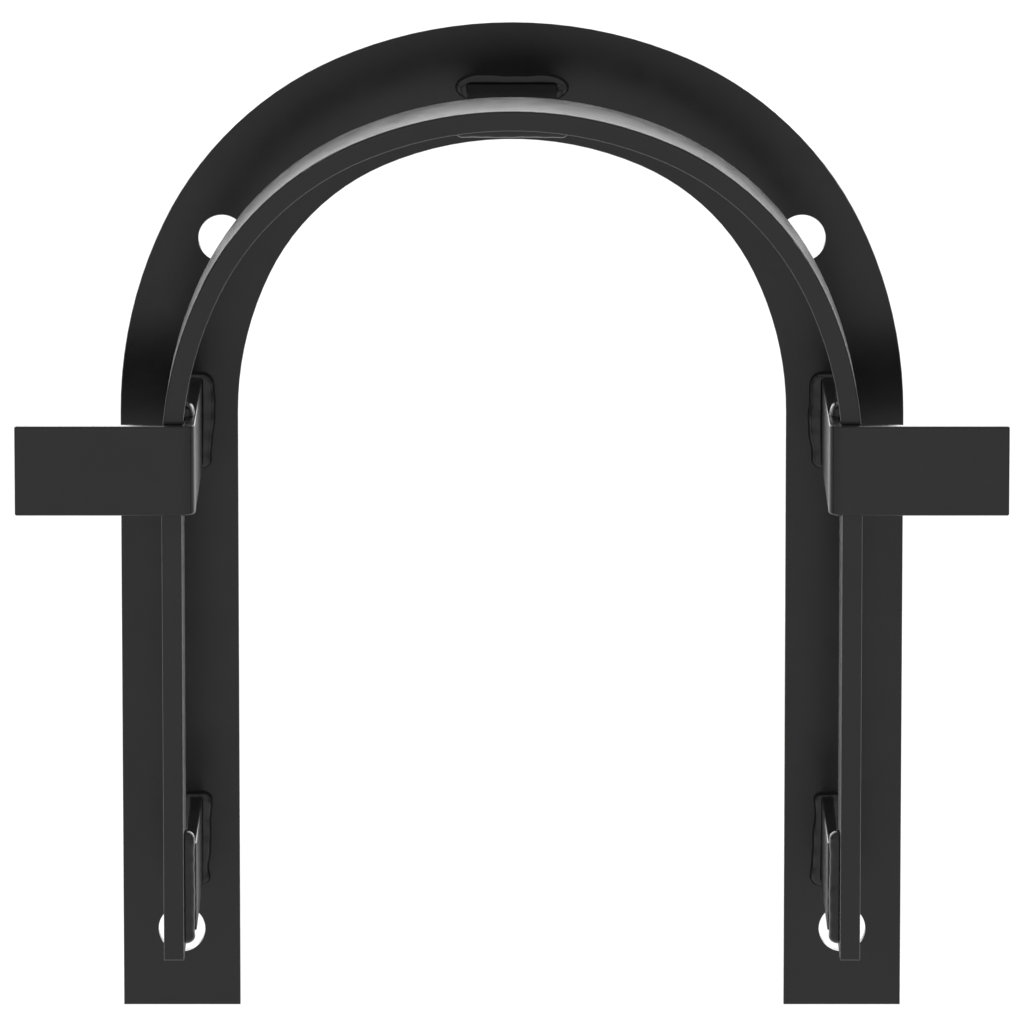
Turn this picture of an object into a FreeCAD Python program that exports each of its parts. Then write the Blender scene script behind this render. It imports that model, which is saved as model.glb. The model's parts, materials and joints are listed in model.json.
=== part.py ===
"""Wall hanger for a garden hose or cable: an arch-shaped back plate, a hoop of flat bar that stands
off it on three stubs, and two arms that reach out in front of the hoop. Everything is welded.

Millimetres. +Z is up, the wall is the plane Y = 0, and the hanger stands out from it towards -Y.
The origin is on the wall, midway between the two upper screw holes.
Inside each body, heights are measured from the plate's foot and depths from the face it stands on.
"""
import FreeCAD, Part
import os
import Sketcher

# Driving sizes, in mm and degrees. Each one can be changed by itself.
SIZES = {
    # back plate
    "plate_width": 200.0,
    "plate_strip": 30.0,
    "plate_thick": 3.0,
    "plate_round": 0.3,
    "leg_height": 155.0,       # the straight part of the arch, from the foot up
    "side_turn": 26.0,         # angle that the large arc above each leg turns through
    "crown_turn": 23.5,        # half the angle of the large arc at the crown
    "radius_step": 24.0,       # how much larger the side and crown arcs are than the shoulder arcs
    "screw_hole": 12.0,
    "lower_hole_rise": 20.0,   # from the foot up to the lower holes
    "upper_hole_drop": 55.5,   # from the top of the plate down to the upper holes
    # hoop of flat bar
    "band_thick": 5.0,
    "band_depth": 25.0,
    "band_standoff": 45.0,     # from the plate's front to the band's back edge
    "band_foot": 27.3,         # the band's legs end this far above the plate's foot
    "band_round": 0.5,
    # flat bar of the stubs and arms
    "bar_width": 22.6,
    "bar_thick": 3.0,
    "bar_round": 0.5,
    "stub_setback": 11.0,      # from the band's front edge back to the lower stubs' front ends
    "top_stub_setback": 17.0,  # the same for the top stub
    "top_stub_lift": 3.0,      # how much higher the top stub meets the plate than the band
    "lower_stub_rise": 32.6,   # from the foot up to the lower edge of the lower stubs
    "arm_rise": 141.6,         # from the foot up to the lower edge of the arms
    "arm_reach": 124.0,        # from the middle of the hanger to the tip of an arm
    "bend_radius": 1.0,        # inside radius of the arms' bend
    # weld metal
    "weld_side": 3.0,          # root weld, out from a broad face
    "weld_end": 1.3,           # root weld, out from a thin edge
    "top_weld_side": 2.0,
    "top_weld_end": 3.1,
    "weld_rise": 3.0,          # root weld, up the bar from the plate
    "weld_lip": 0.4,           # thickness of a root weld where it ends on the bar
    "seam_leg": 2.6,           # weld across a stub's front end
    "seam_overrun": 3.3,       # how far that weld runs past the bar's edges
    "edge_weld_height": 3.3,   # weld on an arm's thin edge, along the band
    "edge_weld_width": 2.6,
    "edge_weld_run": 9.0,
    "edge_weld_setback": 10.0, # from the band's front edge back to that weld
}

# Sizes that follow from the driving sizes.
DERIVED = {
    "half_width": "Sizes.plate_width / 2",
    "shoulder_x": "Sizes.radius_step * sin(Sizes.crown_turn)",
    "shoulder_z": "Sizes.leg_height + Sizes.radius_step * sin(Sizes.side_turn)",
    "shoulder_radius": "half_width - shoulder_x - Sizes.radius_step * (1 - cos(Sizes.side_turn))",
    "large_radius": "shoulder_radius + Sizes.radius_step",
    "side_x": "half_width - large_radius",
    "crown_z": "shoulder_z - Sizes.radius_step * cos(Sizes.crown_turn)",
    "plate_top": "crown_z + large_radius",
    "upper_hole_z": "plate_top - Sizes.upper_hole_drop",
    "lower_hole_x": "half_width - Sizes.plate_strip / 2",
    "upper_hole_x": "shoulder_x + sqrt((shoulder_radius - Sizes.plate_strip / 2)^2"
                    " - (upper_hole_z - shoulder_z)^2)",
    "band_outer": "(Sizes.plate_strip - Sizes.band_thick) / 2",
    "band_inner": "(Sizes.plate_strip + Sizes.band_thick) / 2",
    "band_face_x": "half_width - band_inner",
    "band_face_radius": "large_radius - band_inner",
    "band_front": "Sizes.band_standoff + Sizes.band_depth",
    "stub_length": "band_front - Sizes.stub_setback",
    "arm_top": "Sizes.arm_rise + Sizes.bar_width",
    "arm_seat_x": "side_x + sqrt(band_face_radius^2 - max(arm_top - Sizes.leg_height; 0)^2)",
    "arm_inner_x": "arm_seat_x - Sizes.bar_thick",
    "leaf_back": "band_front + max(Sizes.bend_radius - Sizes.band_round; 0)",
    "leaf_front": "leaf_back + Sizes.bar_thick",
    "bend_x": "arm_seat_x + Sizes.bend_radius",
    "bend_depth": "leaf_back - Sizes.bend_radius",
    "top_stub_length": "band_front - Sizes.top_stub_setback",
    "top_seat_z": "crown_z + sqrt(band_face_radius^2 - (Sizes.bar_width / 2)^2)",
    "top_root_z": "top_seat_z + Sizes.top_stub_lift",
    "top_slope": "Sizes.top_stub_lift / Sizes.band_standoff",
    "top_end_z": "top_root_z - top_slope * top_stub_length",
    "top_stub_height": "Sizes.bar_thick * sqrt(1 + top_slope^2)",
    "edge_weld_back": "band_front - Sizes.edge_weld_setback - Sizes.edge_weld_run",
}

PLATE_FRONT = "-Sizes.plate_thick"
BAND_BACK = "-Sizes.plate_thick - Sizes.band_standoff"
FLAT = 1e-6      # two heights closer than this are the same
SIDES = {"left": -1, "right": 1}

doc = FreeCAD.newDocument("wall_hanger")


def make_sheet(name, cells):
    """A sheet with a name, a value or formula, and an alias on each row."""
    sheet = doc.addObject("Spreadsheet::Sheet", name)
    for row, (alias, content) in enumerate(cells.items(), start=1):
        sheet.set("A%d" % row, alias)
        sheet.set("B%d" % row, str(content))
        sheet.setAlias("B%d" % row, alias)
    doc.recompute()
    return sheet


sizes = make_sheet("Sizes", SIZES)
derived = make_sheet("Derived", {alias: "=" + formula for alias, formula in DERIVED.items()})


def value(expression):
    """The number that an expression on the two sheets comes to."""
    return float(derived.evalExpression(str(expression)))


# ---- bodies, sketches and features ---------------------------------------------------------------

def make_body(label, face="0"):
    """A body whose own heights start at the plate's foot and whose depths start at face."""
    body = doc.addObject("PartDesign::Body", label)
    body.Label = label
    body.setExpression("Placement.Base.y", face)
    body.setExpression("Placement.Base.z", "-Derived.upper_hole_z")
    return body


def make_sketch(body, plane, name, lift="0"):
    """A sketch on one of the body's own origin planes, lifted along its normal."""
    sketch = body.newObject("Sketcher::SketchObject", body.Label + "_" + name)
    origin_plane = [f for f in body.Origin.OriginFeatures if f.Role == plane][0]
    sketch.AttachmentSupport = [(origin_plane, "")]
    sketch.MapMode = "FlatFace"
    sketch.setExpression("AttachmentOffset.Base.z", lift)
    return sketch


def bind(sketch, kind, *where_and_expression):
    """Add a constraint whose value follows an expression."""
    *where, expression = where_and_expression
    index = sketch.addConstraint(Sketcher.Constraint(kind, *where, value(expression)))
    sketch.setExpression("Constraints[%d]" % index, str(expression))


def point_of(corner):
    return FreeCAD.Vector(value(corner[0]), value(corner[1]), 0)


def arc_between(start, end, centre):
    """The short arc from start to end, and whether it had to be turned round to run that way."""
    radius = start.distanceToPoint(centre)
    angles = [(p - centre).getAngle(FreeCAD.Vector(1, 0, 0)) * (1 if p.y >= centre.y else -1)
              for p in (start, end)]
    axis = FreeCAD.Vector(0, 0, 1)
    turned = (start - centre).cross(end - centre).z < 0
    if turned:
        angles.reverse()
    return Part.ArcOfCircle(Part.Circle(centre, axis, radius), *angles), turned


def draw_outline(sketch, corners):
    """A closed outline. A corner is (x, y), or (x, y, (centre x, centre y, radius)) if an arc leads on.

    Every corner is dimensioned from the origin and every arc by its radius, so the sketch is
    fully constrained by expressions on the sheets.
    """
    ends = []
    for corner, following in zip(corners, corners[1:] + corners[:1]):
        start = point_of(corner)
        end = point_of(following)
        turned = False
        if len(corner) == 3:
            piece, turned = arc_between(start, end, point_of(corner[2]))
        else:
            piece = Part.LineSegment(start, end)
        index = sketch.addGeometry(piece, False)
        ends.append((index, 2, 1) if turned else (index, 1, 2))
    for corner, this, before in zip(corners, ends, ends[-1:] + ends[:-1]):
        sketch.addConstraint(Sketcher.Constraint("Coincident", before[0], before[2], this[0], this[1]))
        bind(sketch, "DistanceX", -1, 1, this[0], this[1], corner[0])
        bind(sketch, "DistanceY", -1, 1, this[0], this[1], corner[1])
        if len(corner) == 3:
            bind(sketch, "Radius", this[0], corner[2][2])


def rectangle(x_low, x_high, y_low, y_high):
    return [(x_low, y_low), (x_high, y_low), (x_high, y_high), (x_low, y_high)]


def flipped(expression, side):
    """An x on the right, or the same on the left."""
    return expression if side > 0 else "-(%s)" % expression


def add_pad(body, sketch, length):
    pad = body.newObject("PartDesign::Pad", body.Label + "_pad")
    pad.Profile = sketch
    pad.setExpression("Length", length)
    doc.recompute()


def add_through_cut(body, sketch):
    """Cut right through both ways, and make sure that something was cut."""
    before = body.Shape.Volume
    pocket = body.newObject("PartDesign::Pocket", body.Label + "_cut")
    pocket.Profile = sketch
    pocket.Type = "ThroughAll"
    pocket.Midplane = True
    doc.recompute()
    if not body.Shape.Volume < before:
        raise ValueError(body.Label + ": the cut removed nothing")


def round_edges(body, keep, radius):
    """Round the edges of the body's shape so far that keep accepts."""
    rounded = body.Tip
    names = ["Edge%d" % n for n, edge in enumerate(rounded.Shape.Edges, start=1) if keep(edge.BoundBox)]
    if not names:
        raise ValueError(body.Label + ": no edge to round")
    fillet = body.newObject("PartDesign::Fillet", body.Label + "_fillet")
    fillet.Base = (rounded, names)
    fillet.setExpression("Radius", radius)
    doc.recompute()


# ---- the arch shape that the plate and the band share --------------------------------------------

def arch_run(inset, foot, first, second):
    """Up one leg of the arch, over the crown and down the other leg, inset from the plate's edge."""
    large = "Derived.large_radius - (%s)" % inset
    shoulder = "Derived.shoulder_radius - (%s)" % inset
    leg_x = "Derived.half_width - (%s)" % inset
    corners = [
        (leg_x, foot),
        (leg_x, "Sizes.leg_height"),
        ("Derived.side_x + (%s) * cos(Sizes.side_turn)" % large,
         "Sizes.leg_height + (%s) * sin(Sizes.side_turn)" % large),
        ("Derived.shoulder_x + (%s) * sin(Sizes.crown_turn)" % shoulder,
         "Derived.shoulder_z + (%s) * cos(Sizes.crown_turn)" % shoulder),
    ]
    arcs = [
        None,
        ("Derived.side_x", "Sizes.leg_height", large),
        ("Derived.shoulder_x", "Derived.shoulder_z", shoulder),
        ("0", "Derived.crown_z", large),
    ]
    up = list(zip(corners, arcs, [first] * len(corners)))
    down = list(zip(corners[::-1], [arcs[2], arcs[1], None, None], [second] * len(corners)))
    run = []
    for (x, z), arc, side in up + down:
        corner = (flipped(x, side), z)
        if arc:
            corner += ((flipped(arc[0], side), arc[1], arc[2]),)
        run.append(corner)
    return run


def draw_arch(sketch, outer_inset, inner_inset, foot):
    draw_outline(sketch, arch_run(outer_inset, foot, 1, -1) + arch_run(inner_inset, foot, -1, 1))


# ---- steel ---------------------------------------------------------------------------------------

def back_plate():
    body = make_body("back_plate")
    outline = make_sketch(body, "XZ_Plane", "outline")
    draw_arch(outline, "0", "Sizes.plate_strip", "0")
    add_pad(body, outline, "Sizes.plate_thick")
    holes = make_sketch(body, "XZ_Plane", "holes")
    for side in SIDES.values():
        for x, z in (("Derived.lower_hole_x", "Sizes.lower_hole_rise"),
                     ("Derived.upper_hole_x", "Derived.upper_hole_z")):
            centre = (flipped(x, side), z)
            circle = Part.Circle(point_of(centre), FreeCAD.Vector(0, 0, 1), value("Sizes.screw_hole / 2"))
            index = holes.addGeometry(circle, False)
            bind(holes, "DistanceX", -1, 1, index, 3, centre[0])
            bind(holes, "DistanceY", -1, 1, index, 3, centre[1])
            bind(holes, "Radius", index, "Sizes.screw_hole / 2")
    add_through_cut(body, holes)
    front = -value("Sizes.plate_thick")
    round_edges(body, lambda box: box.YMax < front + FLAT, "Sizes.plate_round")
    return body


def arch_band():
    body = make_body("arch_band", BAND_BACK)
    outline = make_sketch(body, "XZ_Plane", "outline")
    draw_arch(outline, "Derived.band_outer", "Derived.band_inner", "Sizes.band_foot")
    add_pad(body, outline, "Sizes.band_depth")
    round_edges(body, lambda box: box.YLength < FLAT, "Sizes.band_round")
    return body


def is_off_the_plate(box):
    return box.YMin < -FLAT


def top_bracket():
    """The flat bar under the crown. It slopes: its top face meets the band's back edge lower down
    than it meets the plate."""
    body = make_body("top_bracket", PLATE_FRONT)
    side_view = make_sketch(body, "YZ_Plane", "side_view", "-Sizes.bar_width / 2")
    end = "-Derived.top_stub_length"
    draw_outline(side_view, [
        ("0", "Derived.top_root_z - Derived.top_stub_height"),
        (end, "Derived.top_end_z - Derived.top_stub_height"),
        (end, "Derived.top_end_z"),
        ("0", "Derived.top_root_z"),
    ])
    add_pad(body, side_view, "Sizes.bar_width")
    round_edges(body, is_off_the_plate, "Sizes.bar_round")
    return body


def lower_bracket(name, side):
    """A flat bar standing square on the plate, against the inner face of one of the band's legs."""
    body = make_body("lower_bracket_" + name, PLATE_FRONT)
    section = make_sketch(body, "XZ_Plane", "section")
    inner = flipped("Derived.band_face_x - Sizes.bar_thick", side)
    outer = flipped("Derived.band_face_x", side)
    draw_outline(section, rectangle(inner, outer, "Sizes.lower_stub_rise",
                                    "Sizes.lower_stub_rise + Sizes.bar_width"))
    add_pad(body, section, "Derived.stub_length")
    round_edges(body, is_off_the_plate, "Sizes.bar_round")
    return body


def hook_arm(name, side):
    """A flat bar from the plate along the band's inner face, bent outwards in front of the band."""
    body = make_body("hook_arm_" + name, PLATE_FRONT)
    plan = make_sketch(body, "XY_Plane", "plan", "Sizes.arm_rise")
    outside = "Sizes.bend_radius + Sizes.bar_thick"
    bend = (flipped("Derived.bend_x", side), "-Derived.bend_depth")
    draw_outline(plan, [
        (flipped("Derived.arm_inner_x", side), "0"),
        (flipped("Derived.arm_inner_x", side), "-Derived.bend_depth", bend + (outside,)),
        (flipped("Derived.bend_x", side), "-Derived.leaf_front"),
        (flipped("Sizes.arm_reach", side), "-Derived.leaf_front"),
        (flipped("Sizes.arm_reach", side), "-Derived.leaf_back"),
        (flipped("Derived.bend_x", side), "-Derived.leaf_back", bend + ("Sizes.bend_radius",)),
        (flipped("Derived.arm_seat_x", side), "-Derived.bend_depth"),
        (flipped("Derived.arm_seat_x", side), "0"),
    ])
    add_pad(body, plan, "Sizes.bar_width")
    tip = value("Sizes.arm_reach")

    def is_free(box):
        at_tip = abs(box.XMax * side - tip) < FLAT and abs(box.XMin * side - tip) < FLAT
        return is_off_the_plate(box) and (box.ZLength < FLAT or at_tip)

    round_edges(body, is_free, "Sizes.bar_round")
    return body


# ---- weld metal ----------------------------------------------------------------------------------

def without(label, block, *steel):
    """The weld block with the steel that it lies on cut away, so that they meet face to face."""
    shaped = block
    for count, piece in enumerate(steel, start=1):
        cut = doc.addObject("Part::Cut", label if count == len(steel) else label + "_step")
        cut.Base = shaped
        cut.Tool = piece
        cut.Label = cut.Name
        shaped = cut
    doc.recompute()
    return shaped


def grown(bounds, along_x, along_z):
    """Rectangle bounds (x low, x high, z low, z high) moved outwards."""
    x_low, x_high, z_low, z_high = bounds
    return ("%s - %s" % (x_low, along_x), "%s + %s" % (x_high, along_x),
            "%s - %s" % (z_low, along_z), "%s + %s" % (z_high, along_z))


def root_weld(label, bar, bounds, along_x, along_z):
    """A run round the foot of a bar, wide on the plate and thin where it ends on the bar."""
    block = make_body(label + "_block", PLATE_FRONT)
    wide = make_sketch(block, "XZ_Plane", "foot")
    draw_outline(wide, rectangle(*grown(bounds, along_x, along_z)))
    thin = make_sketch(block, "XZ_Plane", "lip", "Sizes.weld_rise")
    draw_outline(thin, rectangle(*grown(bounds, "Sizes.weld_lip", "Sizes.weld_lip")))
    loft = block.newObject("PartDesign::AdditiveLoft", label + "_loft")
    loft.Profile = wide
    loft.Sections = [thin]
    doc.recompute()
    return without(label, block, bar)


def wedge(label, plane, lift, corners, run):
    """A weld of one cross-section along a straight run, before its steel is cut away."""
    block = make_body(label + "_block", PLATE_FRONT)
    section = make_sketch(block, plane, "section", lift)
    draw_outline(section, corners)
    add_pad(block, section, run)
    return block


def fillet_section(face, away, surface, off, width, height):
    """Corners (u, v) of a weld in the corner between the band's face and a bar.

    The band's face is at u = face and the bar's surface at v = surface. away and off, +1 or -1,
    point away from the band and from the bar. The section reaches into both, to be cut back.
    """
    def u(amount):
        return "%s + %d * (%s)" % (face, away, amount)

    def v(amount):
        return "%s + %d * (%s)" % (surface, off, amount)

    in_band = u("-Sizes.band_thick / 2")
    in_bar = v("-Sizes.bar_round")
    return [(in_band, in_bar), (u(width), in_bar), (u(width), v("0")),
            (u("0"), v(height)), (in_band, v(height))]


SEAM_RUN = "Sizes.bar_width + 2 * Sizes.seam_overrun"


def lower_seam(name, side, band, bar):
    """The vertical run across a lower stub's front end."""
    label = "band_weld_lower_" + name
    section = fillet_section("Derived.band_face_x", -1, "-Derived.stub_length", -1,
                             "Sizes.seam_leg", "Sizes.seam_leg")
    corners = [(flipped(u, side), v) for u, v in section]
    lift = "Sizes.lower_stub_rise - Sizes.seam_overrun"
    return without(label, wedge(label, "XY_Plane", lift, corners, SEAM_RUN), band, bar)


def top_seam(band, bar):
    """The level run across the top stub's front end."""
    label = "band_weld_top"
    section = fillet_section("Derived.top_seat_z", -1, "-Derived.top_stub_length", -1,
                             "Sizes.seam_leg", "Sizes.seam_leg")
    corners = [(v, u) for u, v in section]
    lift = "-Sizes.bar_width / 2 - Sizes.seam_overrun"
    return without(label, wedge(label, "YZ_Plane", lift, corners, SEAM_RUN), band, bar)


def edge_weld(level, surface, off, name, side, band, bar):
    """A short run along one thin edge of an arm, where the arm lies on the band."""
    label = "band_weld_arm_%s_%s" % (level, name)
    section = fillet_section("Derived.arm_seat_x", -1, surface, off,
                             "Sizes.edge_weld_width", "Sizes.edge_weld_height")
    corners = [(flipped(u, side), v) for u, v in section]
    block = wedge(label, "XZ_Plane", "Derived.edge_weld_back", corners, "Sizes.edge_weld_run")
    return without(label, block, band, bar)


# ---- the whole hanger ----------------------------------------------------------------------------

def side_parts(name, side, band):
    """What the hanger has once on the left and once on the right."""
    bracket = lower_bracket(name, side)
    arm = hook_arm(name, side)
    bracket_x = ["Derived.band_face_x - Sizes.bar_thick", "Derived.band_face_x"]
    arm_x = ["Derived.arm_inner_x", "Derived.arm_seat_x"]
    if side < 0:
        bracket_x = [flipped(x, side) for x in bracket_x[::-1]]
        arm_x = [flipped(x, side) for x in arm_x[::-1]]
    bracket_z = ["Sizes.lower_stub_rise", "Sizes.lower_stub_rise + Sizes.bar_width"]
    arm_z = ["Sizes.arm_rise", "Derived.arm_top"]
    return [
        bracket,
        arm,
        root_weld("root_weld_lower_" + name, bracket, bracket_x + bracket_z,
                  "Sizes.weld_side", "Sizes.weld_end"),
        root_weld("root_weld_arm_" + name, arm, arm_x + arm_z, "Sizes.weld_side", "Sizes.weld_end"),
        lower_seam(name, side, band, bracket),
        edge_weld("upper", "Derived.arm_top", 1, name, side, band, arm),
        edge_weld("lower", "Sizes.arm_rise", -1, name, side, band, arm),
    ]


def middle_parts(band):
    bracket = top_bracket()
    half = "Sizes.bar_width / 2"
    bounds = ["-" + half, half, "Derived.top_root_z - Derived.top_stub_height", "Derived.top_root_z"]
    return [
        bracket,
        root_weld("root_weld_top", bracket, bounds, "Sizes.top_weld_end", "Sizes.top_weld_side"),
        top_seam(band, bracket),
    ]


def check_model(parts):
    """Stop before anything is written if a feature failed or a sub-part isn't one valid solid."""
    for item in doc.Objects:
        if "Invalid" in item.State or "Error" in item.State:
            raise ValueError("%s: %s" % (item.Label, item.State))
    for part in parts:
        shape = part.Shape
        if shape.isNull() or not shape.isValid() or len(shape.Solids) != 1:
            raise ValueError(part.Label + ": not one valid solid")


def main():
    band = arch_band()
    parts = [back_plate(), band] + middle_parts(band)
    for name, side in SIDES.items():
        parts += side_parts(name, side, band)
    doc.recompute()
    check_model(parts)
    os.makedirs("parts", exist_ok=True)
    for part in parts:
        part.Shape.exportStep("parts/%s.step" % part.Label)
        box = part.Shape.BoundBox
        print("%-26s %9.1f mm3  x %7.2f %7.2f  y %7.2f %7.2f  z %7.2f %7.2f" % (
            part.Label, part.Shape.Volume, box.XMin, box.XMax, box.YMin, box.YMax, box.ZMin, box.ZMax))


main()
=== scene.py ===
"""Looks for the welded wall hanger: satin black powder coat, uneven weld beads, soft studio light."""

import json
import math
import random

import bmesh
import bpy
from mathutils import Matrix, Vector


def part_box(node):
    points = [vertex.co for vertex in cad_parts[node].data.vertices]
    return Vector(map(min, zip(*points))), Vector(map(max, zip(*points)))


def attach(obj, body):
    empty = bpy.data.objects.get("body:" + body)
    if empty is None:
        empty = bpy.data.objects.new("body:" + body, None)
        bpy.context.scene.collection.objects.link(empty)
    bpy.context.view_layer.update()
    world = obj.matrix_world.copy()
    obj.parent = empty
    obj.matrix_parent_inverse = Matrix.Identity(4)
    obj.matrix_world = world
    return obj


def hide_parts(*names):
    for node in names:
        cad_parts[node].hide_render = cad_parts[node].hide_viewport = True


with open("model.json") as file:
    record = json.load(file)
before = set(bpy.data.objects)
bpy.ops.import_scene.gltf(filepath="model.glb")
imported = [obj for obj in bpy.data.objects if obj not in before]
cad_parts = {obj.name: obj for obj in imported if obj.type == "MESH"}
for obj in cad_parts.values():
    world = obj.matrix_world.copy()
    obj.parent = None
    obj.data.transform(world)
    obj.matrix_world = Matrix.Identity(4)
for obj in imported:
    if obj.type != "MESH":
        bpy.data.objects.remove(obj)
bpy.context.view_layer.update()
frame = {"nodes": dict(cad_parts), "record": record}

MM = 0.001


# ---- shader nodes --------------------------------------------------------------------------------

NOISE_MIDDLE = (0.3, 0.7)      # a noise seldom leaves this range


def new_material(name):
    """A material with an empty node tree, and that tree."""
    material = bpy.data.materials.new(name)
    material.use_nodes = True
    tree = material.node_tree
    tree.nodes.clear()
    return material, tree


def add_node(tree, kind, **settings):
    """A node with its sockets or properties set by name."""
    node = tree.nodes.new(kind)
    for key, content in settings.items():
        if key in node.inputs:
            node.inputs[key].default_value = content
        else:
            setattr(node, key, content)
    return node


def noise(tree, coordinates, cells_per_metre, detail=3.0):
    """A smooth random factor. Each step of detail adds cells of half the size."""
    node = add_node(tree, "ShaderNodeTexNoise", Scale=cells_per_metre, Detail=detail, Roughness=0.5)
    tree.links.new(coordinates, node.inputs["Vector"])
    return node.outputs["Fac"]


def ramp(tree, factor, start, end, low, high, shape="SMOOTHSTEP"):
    """A change from low to high while the factor goes from start to end."""
    node = add_node(tree, "ShaderNodeMapRange", interpolation_type=shape)
    for name, number in (("From Min", start), ("From Max", end), ("To Min", low), ("To Max", high)):
        node.inputs[name].default_value = number
    tree.links.new(factor, node.inputs["Value"])
    return node.outputs["Result"]


def spread(tree, factor, low, high):
    """A noise stretched to run from low to high."""
    return ramp(tree, factor, *NOISE_MIDDLE, low, high, shape="LINEAR")


def bumps(tree, height, distance, strength=1.0):
    """A node that raises the surface by a distance, in metres, where the height is 1."""
    node = add_node(tree, "ShaderNodeBump", Strength=strength, Distance=distance)
    tree.links.new(height, node.inputs["Height"])
    return node


def how_far_sideways(tree, vector):
    """The distance to the left or right in a place or a direction."""
    parts = add_node(tree, "ShaderNodeSeparateXYZ")
    tree.links.new(vector, parts.inputs["Vector"])
    size = add_node(tree, "ShaderNodeMath", operation="ABSOLUTE")
    tree.links.new(parts.outputs["X"], size.inputs[0])
    return size.outputs[0]


def set_surface(tree, shader):
    """Make a shader the material's surface."""
    output = add_node(tree, "ShaderNodeOutputMaterial")
    tree.links.new(shader.outputs["BSDF"], output.inputs["Surface"])


# ---- powder coats --------------------------------------------------------------------------------

CLOUDS_PER_METRE = 45.0        # slow changes in shade
PATCHES_PER_METRE = 160.0      # slow changes in gloss
GRAIN_MM = 0.25
GRAIN_HEIGHT_MM = 0.0012
MIX_FACTOR, MIX_A, MIX_B, MIX_RESULT = 0, 6, 7, 2      # a Mix node's sockets when it mixes colours


def powder_coat(name, dark, light, smooth, rough, peel_mm, peel_height_mm):
    """Satin black powder coat: orange peel, a finer grain on top, and slow changes in shade and gloss."""
    material, tree = new_material(name)
    links = tree.links
    place = add_node(tree, "ShaderNodeTexCoord").outputs["Object"]
    shader = add_node(tree, "ShaderNodeBsdfPrincipled", IOR=1.4, Metallic=0.0)
    shade = add_node(tree, "ShaderNodeMix", data_type="RGBA")
    shade.inputs[MIX_A].default_value = (*dark, 1.0)
    shade.inputs[MIX_B].default_value = (*light, 1.0)
    cloudy = noise(tree, place, CLOUDS_PER_METRE, detail=4.0)
    links.new(spread(tree, cloudy, 0.0, 1.0), shade.inputs[MIX_FACTOR])
    links.new(shade.outputs[MIX_RESULT], shader.inputs["Base Color"])
    patchy = noise(tree, place, PATCHES_PER_METRE, detail=3.0)
    links.new(spread(tree, patchy, smooth, rough), shader.inputs["Roughness"])
    peel = bumps(tree, noise(tree, place, 1.0 / (peel_mm * MM), detail=1.0), peel_height_mm * MM)
    grain = bumps(tree, noise(tree, place, 1.0 / (GRAIN_MM * MM), detail=2.0), GRAIN_HEIGHT_MM * MM)
    links.new(peel.outputs["Normal"], grain.inputs["Normal"])
    links.new(grain.outputs["Normal"], shader.inputs["Normal"])
    set_surface(tree, shader)
    return material


# For each slot its darkest and lightest shade, its least and most roughness, and its orange peel's
# size and height in mm.
LOOKS = {
    "plate_powder_coat": ((0.0050, 0.0050, 0.0054), (0.0066, 0.0066, 0.0070), 0.21, 0.25, 1.6, 0.003),
    "bar_powder_coat": ((0.0050, 0.0050, 0.0054), (0.0068, 0.0068, 0.0072), 0.20, 0.24, 1.3, 0.003),
    "weld_bead_powder_coat": ((0.0045, 0.0045, 0.0050), (0.0062, 0.0062, 0.0066), 0.18, 0.23, 1.4, 0.030),
}
COATS = {name: powder_coat(name, *looks) for name, looks in LOOKS.items()}
SLOTS = {part["node"]: part["material_slot"] for part in frame["record"]["subparts"]}


def coat_cad_nodes():
    """Give each CAD node the coat of its slot."""
    for node, piece in frame["nodes"].items():
        piece.data.materials.clear()
        piece.data.materials.append(COATS[SLOTS[node]])


# ---- weld beads ----------------------------------------------------------------------------------

WAVES = 4
WAVE_GROWTH = 2.2      # each wave is longer than the one before by this many times the shortest


def waviness(seed, shortest):
    """A smooth random function of distance along a bead, from -1 to 1. Its shortest wave is given in mm."""
    draw = random.Random(seed)
    terms = [(draw.uniform(0.5, 1.0), shortest * (1.0 + WAVE_GROWTH * k), draw.uniform(0, math.tau))
             for k in range(WAVES)]
    total = sum(size for size, _, _ in terms)

    def wave(s):
        return sum(size * math.sin(math.tau * s / length + phase) for size, length, phase in terms) / total

    return wave


SECTION_STEPS = 16
ROOT_DEPTH = 0.12      # how far the bead's hidden root and its toes lie inside the steel, in mm
TOE_SHARPNESS = 8      # the higher, the nearer to its toes a bead starts to dip into the steel
FULLNESS = 0.82        # under 1 makes a bead's section rounder than a quarter of an ellipse
SQUARE_FULLNESS = 0.5  # makes a section with a flat front and a flat underside


def bead_mesh(name, stations, closed, fullness):
    """A convex bead in the corner between two faces, as a closed mesh.

    A station is (corner point, direction along one face, direction along the other, leg on the
    one, leg on the other), in mm. A closed bead's last station joins its first.
    """
    vertices, faces = [], []
    ring = SECTION_STEPS + 2
    for corner, u, v, leg_u, leg_v in stations:
        vertices.append(corner - (u + v) * ROOT_DEPTH)
        for step in range(SECTION_STEPS + 1):
            turn = math.pi / 2 * step / SECTION_STEPS
            along_u = leg_u * math.cos(turn) ** fullness - ROOT_DEPTH * math.sin(turn) ** TOE_SHARPNESS
            along_v = leg_v * math.sin(turn) ** fullness - ROOT_DEPTH * math.cos(turn) ** TOE_SHARPNESS
            vertices.append(corner + u * along_u + v * along_v)
    count = len(stations)
    for i in range(count if closed else count - 1):
        here, there = i * ring, (i + 1) % count * ring
        for j in range(ring):
            k = (j + 1) % ring
            faces.append((here + j, here + k, there + k, there + j))
    if not closed:
        faces.append(tuple(range(ring - 1, -1, -1)))
        faces.append(tuple((count - 1) * ring + j for j in range(ring)))
    mesh = bpy.data.meshes.new(name)
    mesh.from_pydata([p * MM for p in vertices], [], faces)
    mesh.update()
    return mesh


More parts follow.
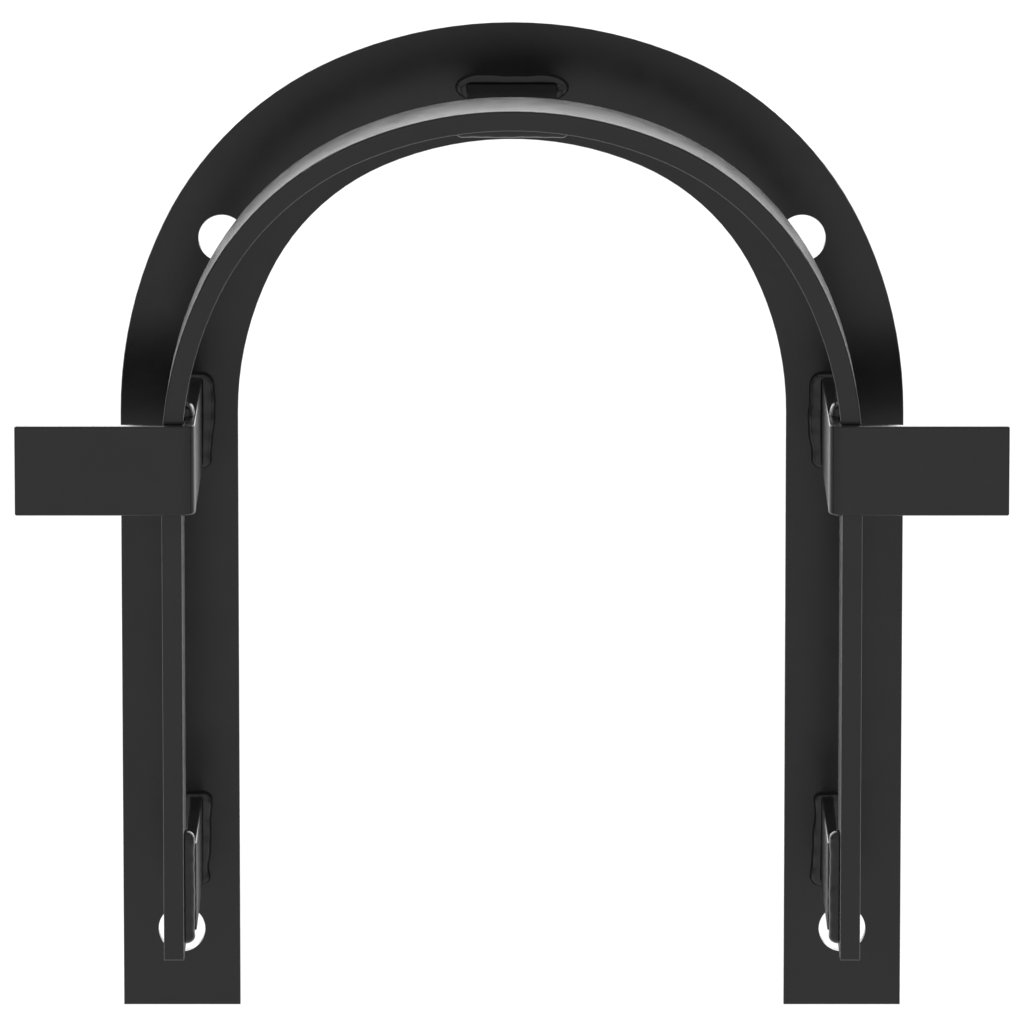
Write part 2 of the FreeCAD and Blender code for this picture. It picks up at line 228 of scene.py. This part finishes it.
def add_bead(node, stations, closed, fullness):
    """Put a sculpted bead in place of the plain weld solid of that node."""
    mesh = bead_mesh(node + "_bead", stations, closed, fullness)
    bead = bpy.data.objects.new(node + "_bead", mesh)
    bpy.context.scene.collection.objects.link(bead)
    outward(mesh)
    mesh.materials.append(COATS["weld_bead_powder_coat"])
    for face in mesh.polygons:
        face.use_smooth = True
    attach(bead, "root")
    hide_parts(node)


def outward(mesh):
    """Turn the faces so that they all point out of the bead."""
    shape = bmesh.new()
    shape.from_mesh(mesh)
    bmesh.ops.recalc_face_normals(shape, faces=shape.faces)
    shape.to_mesh(mesh)
    shape.free()


def box_mm(node):
    """The low and high corners of a node's box, in mm."""
    low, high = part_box(node)
    return Vector(low) / MM, Vector(high) / MM


OUT = Vector((0, -1, 0))       # away from the wall
UP = Vector((0, 0, 1))
RIGHT = Vector((1, 0, 0))

# Sizes from here to the end of the beads are in mm.
CORNER_STEPS = 10
STATION_GAP = 0.35
BAR_ROUND = 0.5                # the steel's edge radius
BITE = 0.5                     # how far a weld solid reaches back past the corner that it fills
BAND_THICK = 5.0
BAR_THICK = 3.0
SEAT_DROP = 0.7                # from the crown's underside down to the flat bar below it
WIDTH_WAVE = 0.08              # how much a root run's width varies, as a share of it
HEIGHT_WAVE = 0.10             # the same for its height
LEG_WAVE = 0.06                # the same for both legs of a straight run
ROOT_WAVE_LENGTHS = (6.0, 5.0)         # the shortest wave of a root run's width and of its height
STRAIGHT_WAVE_LENGTHS = (4.0, 5.0)     # the shortest wave of a straight run's two legs
SECOND_WAVE_SEED = 50          # added to a run's seed for its second wave
LEAST_TAPER = 0.02             # a straight run's last section, as a share of a full one
STRAIGHT_SIDE = 1.0            # stretches of an outline longer than this are straight sides
PARALLEL = 1e-9                # an edge whose cross product with a direction is less runs along it
EDGE_SLACK = 1e-6              # how far past an edge's ends it still counts, as a share of its length


def bar_outline(x_low, x_high, z_low, z_high, round_x, round_z):
    """Points and outward directions round a bar's rounded rectangular outline, anticlockwise.

    round_x and round_z are how far its corners' rounding reaches along each side.
    """
    outline = []
    centres = [(x_high, z_high, 0), (x_low, z_high, 90), (x_low, z_low, 180), (x_high, z_low, 270)]
    for x, z, start in centres:
        middle = Vector((x - math.copysign(round_x, x - (x_low + x_high) / 2), 0,
                         z - math.copysign(round_z, z - (z_low + z_high) / 2)))
        for step in range(CORNER_STEPS + 1):
            angle = math.radians(start + 90 * step / CORNER_STEPS)
            normal = Vector((math.cos(angle), 0, math.sin(angle)))
            outline.append((middle + Vector((normal.x * round_x, 0, normal.z * round_z)), normal))
    dense = []
    for (p, n), (q, m) in zip(outline, outline[1:] + outline[:1]):
        length = (q - p).length
        steps = round(length / STATION_GAP) if length > STRAIGHT_SIDE else 1
        for k in range(steps):
            dense.append((p.lerp(q, k / steps), n.lerp(m, k / steps).normalized()))
    return dense


def root_bead(node, legs, toe_round, rise, seed, bulges):
    """A run right round a bar's foot.

    legs is how far its toe lies from the bar along X and along Z, toe_round how far the toe's
    corners are rounded along each, and rise how far the run climbs up the bar. A bulge is (x, z,
    extra width, reach), in mm from the bar's middle.
    """
    low, high = box_mm(node)
    leg_x, leg_z = legs
    inner = bar_outline(low.x + leg_x, high.x - leg_x, low.z + leg_z, high.z - leg_z, BAR_ROUND, BAR_ROUND)
    outer = bar_outline(low.x, high.x, low.z, high.z, *toe_round)
    middle = (low + high) / 2
    wave = waviness(seed, ROOT_WAVE_LENGTHS[0])
    climb = waviness(seed + SECOND_WAVE_SEED, ROOT_WAVE_LENGTHS[1])
    stations, s = [], 0.0
    previous = inner[0][0]
    for point, normal in inner:
        s += (point - previous).length
        previous = point
        width = reach_to(outer, point, normal) * (1.0 + WIDTH_WAVE * wave(s))
        for x, z, extra, reach in bulges:
            away = math.hypot(point.x - middle.x - x, point.z - middle.z - z)
            width += extra * math.exp(-(away / reach) ** 2)
        corner = Vector((point.x, high.y, point.z))
        stations.append((corner, normal, OUT, width, rise * (1.0 + HEIGHT_WAVE * climb(s))))
    add_bead(node, stations, True, FULLNESS)


def reach_to(outline, point, normal):
    """How far it is from a point along a direction to the outline round it."""
    best = 0.0
    for (p, _), (q, _) in zip(outline, outline[1:] + outline[:1]):
        edge = q - p
        across = normal.x * edge.z - normal.z * edge.x
        if abs(across) < PARALLEL:
            continue
        gap = p - point
        along = (gap.x * edge.z - gap.z * edge.x) / across
        share = (gap.x * normal.z - gap.z * normal.x) / across
        if along > 0 and -EDGE_SLACK <= share <= 1 + EDGE_SLACK:
            best = max(best, along)
    return best


def straight_bead(node, start, run, u, v, legs, seed, end_length=2.0, fullness=FULLNESS):
    """A run along a straight corner, rounded off at both ends.

    run is the vector from its start to its end, u and v are directions along the two faces that it
    joins, and legs is how far it reaches along each.
    """
    length = run.length
    leg_u, leg_v = legs
    wave = waviness(seed, STRAIGHT_WAVE_LENGTHS[0])
    other = waviness(seed + SECOND_WAVE_SEED, STRAIGHT_WAVE_LENGTHS[1])
    steps = round(length / STATION_GAP)
    stations = []
    for step in range(steps + 1):
        share = 0.5 - 0.5 * math.cos(math.pi * step / steps)
        s = length * share
        taper = 1.0
        for distance in (s, length - s):
            if distance < end_length:
                taper *= math.sqrt(max(1.0 - (1.0 - distance / end_length) ** 2, LEAST_TAPER ** 2))
        reach_u = leg_u * taper * (1.0 + LEG_WAVE * wave(s))
        reach_v = leg_v * taper * (1.0 + LEG_WAVE * other(s))
        stations.append((start + run * share, u, v, reach_u, reach_v))
    add_bead(node, stations, False, fullness)


# The runs round the feet of the arms and lower brackets, and round the top bracket's foot.
SIDE_ROOT = {"legs": (3.0, 1.3), "toe_round": (2.8, 3.0), "rise": 2.6}
TOP_ROOT = {"legs": (3.1, 2.0), "toe_round": (6.5, 3.4), "rise": 2.6}

# Where the toe of a root run swells or draws in, as (height, extra width, reach along the run), in
# mm from the middle of the bar, on the bar's inner face. The top run swells near its two upper
# corners, each a bulge as root_bead takes it.
ARM_TOE = {"left": [(2, 0.4, 6), (-9, -0.6, 5)], "right": [(-1, 0.7, 6), (-9, -0.5, 5)]}
LOWER_TOE = {"left": [(3, -0.7, 8), (-8, -1.4, 5)], "right": [(-3, -0.6, 6), (7, -1.2, 5)]}
TOP_TOE = [(x, 3, 0.3, 4) for x in (-8, 8)]

# The legs of the straight runs: the first on the bracket or arm, the second on the band.
LOWER_LEGS = (2.6, 2.6)
ARM_LEGS = (2.6, 3.2)
TOP_LEGS = (3.3, 2.4)
ARM_END_LENGTH = 3.5


def side_beads(side, sign):
    """The runs on one arm and one lower bracket."""
    inward = RIGHT * -sign
    for weld, toe, seed in (("root_weld_arm_", ARM_TOE, 21), ("root_weld_lower_", LOWER_TOE, 31)):
        bulges = [(inward.x * BAR_THICK / 2, z, extra, reach) for z, extra, reach in toe[side]]
        root_bead(weld + side, seed=seed + sign, bulges=bulges, **SIDE_ROOT)
    low, high = box_mm("band_weld_lower_" + side)
    start = Vector((low.x if sign < 0 else high.x, high.y - BITE, low.z))
    straight_bead("band_weld_lower_" + side, start, UP * (high.z - low.z), inward, OUT, LOWER_LEGS,
                  seed=41 + sign)
    for level, up in (("upper", 1), ("lower", -1)):
        node = "band_weld_arm_%s_%s" % (level, side)
        low, high = box_mm(node)
        edge_z = low.z + BITE if up > 0 else high.z - BITE
        start = Vector((low.x if sign < 0 else high.x, high.y, edge_z))
        straight_bead(node, start, OUT * (high.y - low.y), inward, UP * up, ARM_LEGS,
                      seed=51 + sign + up, end_length=ARM_END_LENGTH)


def top_beads():
    """The runs at both ends of the bracket under the crown."""
    root_bead("root_weld_top", seed=11, bulges=TOP_TOE, **TOP_ROOT)
    low, high = box_mm("band_weld_top")
    front = box_mm("top_bracket")[0].y
    underside = box_mm("arch_band")[1].z - BAND_THICK - SEAT_DROP
    start = Vector((low.x, front, underside))
    straight_bead("band_weld_top", start, RIGHT * (high.x - low.x), -UP, OUT, TOP_LEGS,
                  seed=61, fullness=SQUARE_FULLNESS)


def build_beads():
    """All the weld beads."""
    top_beads()
    for side, sign in (("left", -1), ("right", 1)):
        side_beads(side, sign)


# ---- camera, floor and light, in metres ----------------------------------------------------------

CAMERA_PLACE = Vector((0.0, -2.891, 0.4598))
CAMERA_TARGET = Vector((0.0, -0.003, -0.0709))
LENS_MM = 403.5
SENSOR_MM = 36.0

FLOOR_LEVEL = -0.70
FLOOR_HALF = 14.0
# The darker shade far left and right is painted shade: it stands in for the dimmer light at the studio's
# sides, which the steel's edges reflect.
FLOOR_PALE, FLOOR_PAINTED_SHADE = 0.9, 0.5
FLOOR_SHADE_FADE = (2.9, 3.4)        # painted shade: it darkens between these distances to the left and right, standing in for the dimmer light at the studio's sides

FRONT, BACKDROP = 0.84, 3.1    # the light's strength all round and behind the hanger
BACKDROP_FADE = (0.35, 0.80)   # how far back a direction points where the backdrop starts and is full
SIDES = 0.65                   # the side walls' strength, as a share of the rest
SIDES_FADE = (0.84, 0.96)      # how far sideways a direction points where they start and are full


def add_camera():
    """A long lens, a little above the hanger, straight in front of the wall."""
    camera = bpy.data.objects.new("camera", bpy.data.cameras.new("camera"))
    bpy.context.scene.collection.objects.link(camera)
    camera.location = CAMERA_PLACE
    camera.rotation_mode = "QUATERNION"
    camera.rotation_quaternion = (CAMERA_TARGET - camera.location).to_track_quat("-Z", "Y")
    camera.data.lens = LENS_MM
    camera.data.sensor_width = SENSOR_MM
    camera.data.clip_start = 0.1
    camera.data.clip_end = 60.0
    bpy.context.scene.camera = camera


def floor_paint():
    """A matt paint, pale in the middle and a little darker far left and right: painted shade that stands in
    for the dimmer light at the studio's sides, which the steel's edges reflect.
    """
    material, tree = new_material("floor_paint")
    place = add_node(tree, "ShaderNodeTexCoord").outputs["Object"]
    shader = add_node(tree, "ShaderNodeBsdfPrincipled", Roughness=0.9)
    # Painted shade: the floor turns darker far left and right, standing in for dim light at the studio's
    # sides.
    shade = ramp(tree, how_far_sideways(tree, place), *FLOOR_SHADE_FADE, FLOOR_PALE, FLOOR_PAINTED_SHADE)
    colour = add_node(tree, "ShaderNodeCombineColor")
    for channel in ("Red", "Green", "Blue"):
        tree.links.new(shade, colour.inputs[channel])
    tree.links.new(colour.outputs["Color"], shader.inputs["Base Color"])
    relief = bumps(tree, noise(tree, place, 60.0), 0.5 * MM, strength=0.2)
    tree.links.new(relief.outputs["Normal"], shader.inputs["Normal"])
    set_surface(tree, shader)
    return material


def add_floor():
    """A large floor well under the hanger."""
    mesh = bpy.data.meshes.new("floor")
    corners = [(x * FLOOR_HALF, y * FLOOR_HALF, FLOOR_LEVEL) for x, y in ((-1, -1), (1, -1), (1, 1), (-1, 1))]
    mesh.from_pydata(corners, [], [(0, 1, 2, 3)])
    mesh.materials.append(floor_paint())
    floor = bpy.data.objects.new("floor", mesh)
    bpy.context.scene.collection.objects.link(floor)


def add_world():
    """A white studio: a brighter backdrop behind the hanger, and dimmer walls left and right."""
    world = bpy.data.worlds.new("studio")
    world.use_nodes = True
    tree = world.node_tree
    view = add_node(tree, "ShaderNodeTexCoord").outputs["Generated"]
    direction = add_node(tree, "ShaderNodeSeparateXYZ")
    tree.links.new(view, direction.inputs["Vector"])
    behind = ramp(tree, direction.outputs["Y"], *BACKDROP_FADE, FRONT, BACKDROP)
    beside = ramp(tree, how_far_sideways(tree, view), *SIDES_FADE, 1.0, SIDES)
    strength = add_node(tree, "ShaderNodeMath", operation="MULTIPLY")
    tree.links.new(behind, strength.inputs[0])
    tree.links.new(beside, strength.inputs[1])
    background = tree.nodes["Background"]
    background.inputs["Color"].default_value = (1.0, 1.0, 1.0, 1.0)
    tree.links.new(strength.outputs[0], background.inputs["Strength"])
    bpy.context.scene.world = world


coat_cad_nodes()
build_beads()
add_camera()
add_floor()
add_world()
bpy.context.scene.view_settings.view_transform = "Standard"
